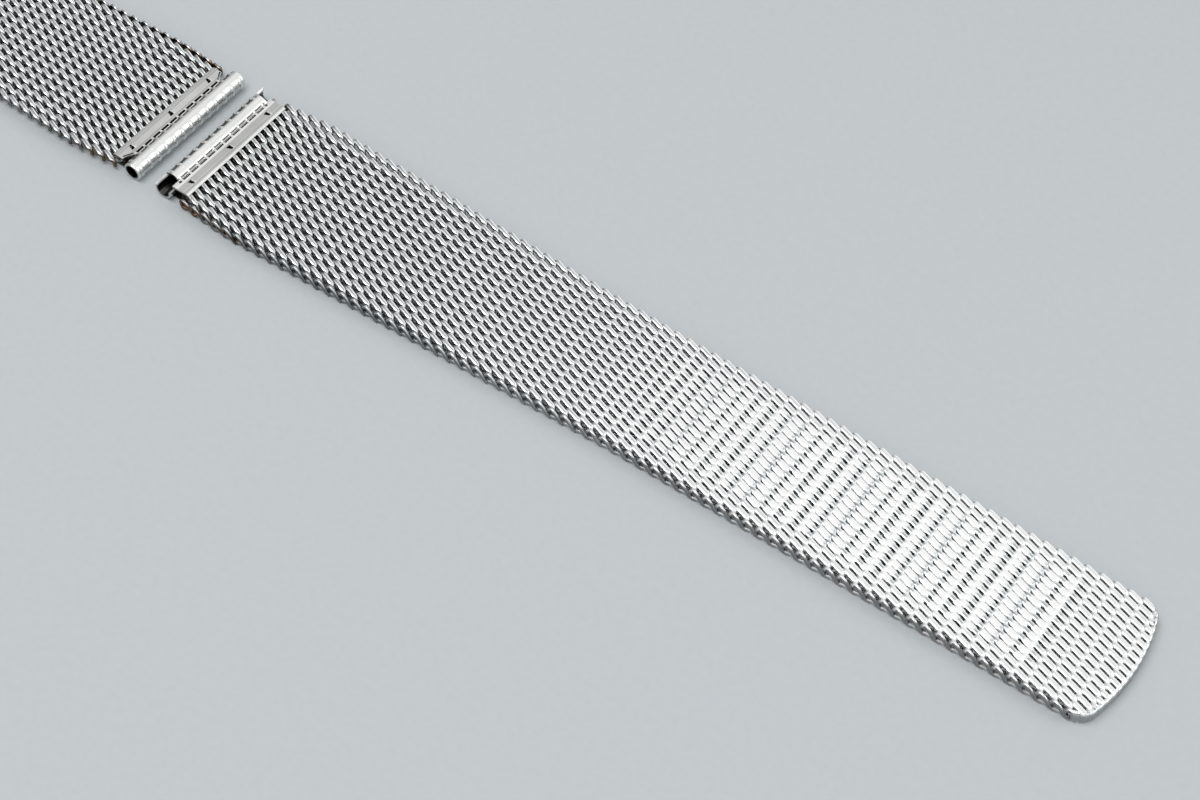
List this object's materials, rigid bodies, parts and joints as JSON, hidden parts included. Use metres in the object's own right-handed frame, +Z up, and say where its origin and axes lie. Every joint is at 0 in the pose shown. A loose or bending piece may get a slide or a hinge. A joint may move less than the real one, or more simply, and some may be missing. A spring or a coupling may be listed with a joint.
{
  "type": "watch bracelet",
  "caption": "Flat steel mesh watch bracelet in two halves, with ribbed rolled tube ends, a rounded tip and a lever clasp.",
  "frame": {"origin": "on the bench under the middle of the laid-out length, on the centre line", "axes": "+X along the bracelet towards the rounded tip, +Y across it, +Z up from the bench"},
  "size_m": [0.1888, 0.0188, 0.006],
  "materials": {
    "mesh_steel": "woven stainless wire, flattened and ground on both faces",
    "pressed_steel": "pressed stainless sheet, polished and worn",
    "turned_steel": "turned stainless steel"
  },
  "bodies": {
    "long_end": {"long_end_piece": "pressed_steel", "long_mesh_01": "mesh_steel"},
    "long_link_02": {"long_mesh_02": "mesh_steel"},
    "long_link_03": {"long_mesh_03": "mesh_steel"},
    "long_link_04": {"long_mesh_04": "mesh_steel"},
    "long_link_05": {"long_mesh_05": "mesh_steel"},
    "long_link_06": {"long_mesh_06": "mesh_steel"},
    "long_link_07": {"long_mesh_07": "mesh_steel"},
    "long_link_08": {"long_mesh_08": "mesh_steel"},
    "long_link_09": {"long_mesh_09": "mesh_steel"},
    "long_link_10": {"long_mesh_10": "mesh_steel"},
    "long_link_11": {"long_mesh_11": "mesh_steel"},
    "long_link_12": {"long_mesh_12": "mesh_steel"},
    "long_link_13": {"long_mesh_13": "mesh_steel"},
    "long_link_14": {"long_mesh_14": "mesh_steel"},
    "short_end": {"short_end_piece": "pressed_steel", "short_mesh_01": "mesh_steel"},
    "short_link_02": {"short_mesh_02": "mesh_steel"},
    "short_link_03": {"short_mesh_03": "mesh_steel"},
    "short_link_04": {"short_mesh_04": "mesh_steel"},
    "short_link_05": {"short_mesh_05": "mesh_steel"},
    "clasp": {"short_mesh_06": "mesh_steel", "clasp_body": "pressed_steel", "clasp_hinge_pin": "turned_steel"},
    "lever": {"clasp_lever": "pressed_steel"}
  },
  "joints": [
    {"name": "long_mesh_bend_01", "type": "hinge", "parent": "long_end", "child": "long_link_02", "pos_m": [-0.00711, 0, 0.0008], "axis": [0, -1, 0], "range_deg": [-20, 20]},
    {"name": "long_mesh_bend_02", "type": "hinge", "parent": "long_link_02", "child": "long_link_03", "pos_m": [0.00069, 0, 0.0008], "axis": [0, -1, 0], "range_deg": [-20, 20]},
    {"name": "long_mesh_bend_03", "type": "hinge", "parent": "long_link_03", "child": "long_link_04", "pos_m": [0.0085, 0, 0.0008], "axis": [0, -1, 0], "range_deg": [-20, 20]},
    {"name": "long_mesh_bend_04", "type": "hinge", "parent": "long_link_04", "child": "long_link_05", "pos_m": [0.0163, 0, 0.0008], "axis": [0, -1, 0], "range_deg": [-20, 20]},
    {"name": "long_mesh_bend_05", "type": "hinge", "parent": "long_link_05", "child": "long_link_06", "pos_m": [0.02409, 0, 0.0008], "axis": [0, -1, 0], "range_deg": [-20, 20]},
    {"name": "long_mesh_bend_06", "type": "hinge", "parent": "long_link_06", "child": "long_link_07", "pos_m": [0.03189, 0, 0.0008], "axis": [0, -1, 0], "range_deg": [-20, 20]},
    {"name": "long_mesh_bend_07", "type": "hinge", "parent": "long_link_07", "child": "long_link_08", "pos_m": [0.0397, 0, 0.0008], "axis": [0, -1, 0], "range_deg": [-20, 20]},
    {"name": "long_mesh_bend_08", "type": "hinge", "parent": "long_link_08", "child": "long_link_09", "pos_m": [0.0475, 0, 0.0008], "axis": [0, -1, 0], "range_deg": [-20, 20]},
    {"name": "long_mesh_bend_09", "type": "hinge", "parent": "long_link_09", "child": "long_link_10", "pos_m": [0.05529, 0, 0.0008], "axis": [0, -1, 0], "range_deg": [-20, 20]},
    {"name": "long_mesh_bend_10", "type": "hinge", "parent": "long_link_10", "child": "long_link_11", "pos_m": [0.06309, 0, 0.0008], "axis": [0, -1, 0], "range_deg": [-20, 20]},
    {"name": "long_mesh_bend_11", "type": "hinge", "parent": "long_link_11", "child": "long_link_12", "pos_m": [0.07089, 0, 0.0008], "axis": [0, -1, 0], "range_deg": [-20, 20]},
    {"name": "long_mesh_bend_12", "type": "hinge", "parent": "long_link_12", "child": "long_link_13", "pos_m": [0.0787, 0, 0.0008], "axis": [0, -1, 0], "range_deg": [-20, 20]},
    {"name": "long_mesh_bend_13", "type": "hinge", "parent": "long_link_13", "child": "long_link_14", "pos_m": [0.0865, 0, 0.0008], "axis": [0, -1, 0], "range_deg": [-20, 20]},
    {"name": "halves_apart", "type": "slide", "parent": "long_end", "child": "short_end", "axis": [-1, 0, 0], "range_m": [0, 0.04]},
    {"name": "short_mesh_bend_01", "type": "hinge", "parent": "short_end", "child": "short_link_02", "pos_m": [-0.03576, 0, 0.0008], "axis": [0, 1, 0], "range_deg": [-20, 20]},
    {"name": "short_mesh_bend_02", "type": "hinge", "parent": "short_link_02", "child": "short_link_03", "pos_m": [-0.04356, 0, 0.0008], "axis": [0, 1, 0], "range_deg": [-20, 20]},
    {"name": "short_mesh_bend_03", "type": "hinge", "parent": "short_link_03", "child": "short_link_04", "pos_m": [-0.05135, 0, 0.0008], "axis": [0, 1, 0], "range_deg": [-20, 20]},
    {"name": "short_mesh_bend_04", "type": "hinge", "parent": "short_link_04", "child": "short_link_05", "pos_m": [-0.05915, 0, 0.0008], "axis": [0, 1, 0], "range_deg": [-20, 20]},
    {"name": "short_mesh_bend_05", "type": "hinge", "parent": "short_link_05", "child": "clasp", "pos_m": [-0.06696, 0, 0.0008], "axis": [0, 1, 0], "range_deg": [-20, 20]},
    {"name": "clasp_lever_turn", "type": "hinge", "parent": "clasp", "child": "lever", "pos_m": [-0.0802, 0, 0.00435], "axis": [0, 1, 0], "range_deg": [0, 110]}
  ]
}
